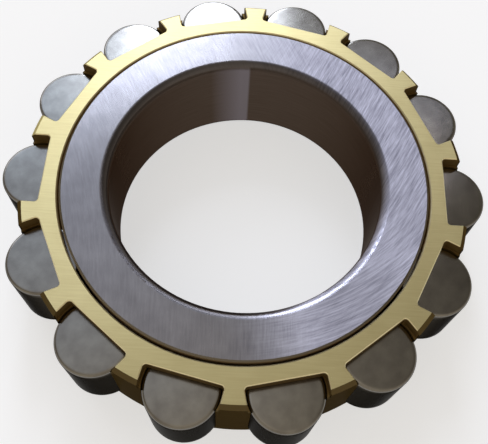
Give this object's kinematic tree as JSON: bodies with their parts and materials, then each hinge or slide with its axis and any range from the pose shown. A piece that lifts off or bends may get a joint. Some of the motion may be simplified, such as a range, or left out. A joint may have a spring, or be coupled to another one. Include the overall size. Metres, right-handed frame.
{
  "type": "cylindrical roller bearing",
  "caption": "Cylindrical roller bearing without an outer ring: ribbed steel inner ring, riveted two-piece brass cage and cylindrical rollers that stand proud of it.",
  "frame": {"origin": "on the bearing axis at mid width, which is also the centre of the bore", "axes": "+Z along the bearing axis towards the side face with the open cage slots; +X through the centre of the first roller"},
  "size_m": [0.171, 0.1674, 0.04],
  "materials": {
    "ring_steel": "ground, satin",
    "roller_steel": "finely ground, bright",
    "cage_brass": "fine turned, satin",
    "rivet_brass": "upset and dressed, satin"
  },
  "bodies": {
    "inner_ring": {"inner_ring": "ring_steel"},
    "cage": {"cage_body": "cage_brass", "cage_end_ring": "cage_brass", "cage_rivet_01": "rivet_brass", "cage_rivet_02": "rivet_brass", "cage_rivet_03": "rivet_brass", "cage_rivet_04": "rivet_brass", "cage_rivet_05": "rivet_brass", "cage_rivet_06": "rivet_brass", "cage_rivet_07": "rivet_brass", "cage_rivet_08": "rivet_brass", "cage_rivet_09": "rivet_brass", "cage_rivet_10": "rivet_brass", "cage_rivet_11": "rivet_brass", "cage_rivet_12": "rivet_brass", "cage_rivet_13": "rivet_brass", "cage_rivet_14": "rivet_brass"},
    "roller_01": {"roller_01": "roller_steel"},
    "roller_02": {"roller_02": "roller_steel"},
    "roller_03": {"roller_03": "roller_steel"},
    "roller_04": {"roller_04": "roller_steel"},
    "roller_05": {"roller_05": "roller_steel"},
    "roller_06": {"roller_06": "roller_steel"},
    "roller_07": {"roller_07": "roller_steel"},
    "roller_08": {"roller_08": "roller_steel"},
    "roller_09": {"roller_09": "roller_steel"},
    "roller_10": {"roller_10": "roller_steel"},
    "roller_11": {"roller_11": "roller_steel"},
    "roller_12": {"roller_12": "roller_steel"},
    "roller_13": {"roller_13": "roller_steel"},
    "roller_14": {"roller_14": "roller_steel"}
  },
  "joints": [
    {"name": "cage_spin", "type": "hinge", "parent": "inner_ring", "child": "cage", "pos_m": [0, 0, 0], "axis": [0, 0, 1], "continuous": true},
    {"name": "roller_01_spin", "type": "hinge", "parent": "cage", "child": "roller_01", "pos_m": [0.073, 0, 0], "axis": [0, 0, 1], "continuous": true},
    {"name": "roller_02_spin", "type": "hinge", "parent": "cage", "child": "roller_02", "pos_m": [0.06577, 0.03167, 0], "axis": [0, 0, 1], "continuous": true},
    {"name": "roller_03_spin", "type": "hinge", "parent": "cage", "child": "roller_03", "pos_m": [0.04551, 0.05707, 0], "axis": [0, 0, 1], "continuous": true},
    {"name": "roller_04_spin", "type": "hinge", "parent": "cage", "child": "roller_04", "pos_m": [0.01624, 0.07117, 0], "axis": [0, 0, 1], "continuous": true},
    {"name": "roller_05_spin", "type": "hinge", "parent": "cage", "child": "roller_05", "pos_m": [-0.01624, 0.07117, 0], "axis": [0, 0, 1], "continuous": true},
    {"name": "roller_06_spin", "type": "hinge", "parent": "cage", "child": "roller_06", "pos_m": [-0.04551, 0.05707, 0], "axis": [0, 0, 1], "continuous": true},
    {"name": "roller_07_spin", "type": "hinge", "parent": "cage", "child": "roller_07", "pos_m": [-0.06577, 0.03167, 0], "axis": [0, 0, 1], "continuous": true},
    {"name": "roller_08_spin", "type": "hinge", "parent": "cage", "child": "roller_08", "pos_m": [-0.073, 0, 0], "axis": [0, 0, 1], "continuous": true},
    {"name": "roller_09_spin", "type": "hinge", "parent": "cage", "child": "roller_09", "pos_m": [-0.06577, -0.03167, 0], "axis": [0, 0, 1], "continuous": true},
    {"name": "roller_10_spin", "type": "hinge", "parent": "cage", "child": "roller_10", "pos_m": [-0.04551, -0.05707, 0], "axis": [0, 0, 1], "continuous": true},
    {"name": "roller_11_spin", "type": "hinge", "parent": "cage", "child": "roller_11", "pos_m": [-0.01624, -0.07117, 0], "axis": [0, 0, 1], "continuous": true},
    {"name": "roller_12_spin", "type": "hinge", "parent": "cage", "child": "roller_12", "pos_m": [0.01624, -0.07117, 0], "axis": [0, 0, 1], "continuous": true},
    {"name": "roller_13_spin", "type": "hinge", "parent": "cage", "child": "roller_13", "pos_m": [0.04551, -0.05707, 0], "axis": [0, 0, 1], "continuous": true},
    {"name": "roller_14_spin", "type": "hinge", "parent": "cage", "child": "roller_14", "pos_m": [0.06577, -0.03167, 0], "axis": [0, 0, 1], "continuous": true}
  ],
  "couplings": [
    {"joint": "roller_01_spin", "follows": "cage_spin", "ratio": 4.84},
    {"joint": "roller_02_spin", "follows": "cage_spin", "ratio": 4.84},
    {"joint": "roller_03_spin", "follows": "cage_spin", "ratio": 4.84},
    {"joint": "roller_04_spin", "follows": "cage_spin", "ratio": 4.84},
    {"joint": "roller_05_spin", "follows": "cage_spin", "ratio": 4.84},
    {"joint": "roller_06_spin", "follows": "cage_spin", "ratio": 4.84},
    {"joint": "roller_07_spin", "follows": "cage_spin", "ratio": 4.84},
    {"joint": "roller_08_spin", "follows": "cage_spin", "ratio": 4.84},
    {"joint": "roller_09_spin", "follows": "cage_spin", "ratio": 4.84},
    {"joint": "roller_10_spin", "follows": "cage_spin", "ratio": 4.84},
    {"joint": "roller_11_spin", "follows": "cage_spin", "ratio": 4.84},
    {"joint": "roller_12_spin", "follows": "cage_spin", "ratio": 4.84},
    {"joint": "roller_13_spin", "follows": "cage_spin", "ratio": 4.84},
    {"joint": "roller_14_spin", "follows": "cage_spin", "ratio": 4.84}
  ]
}
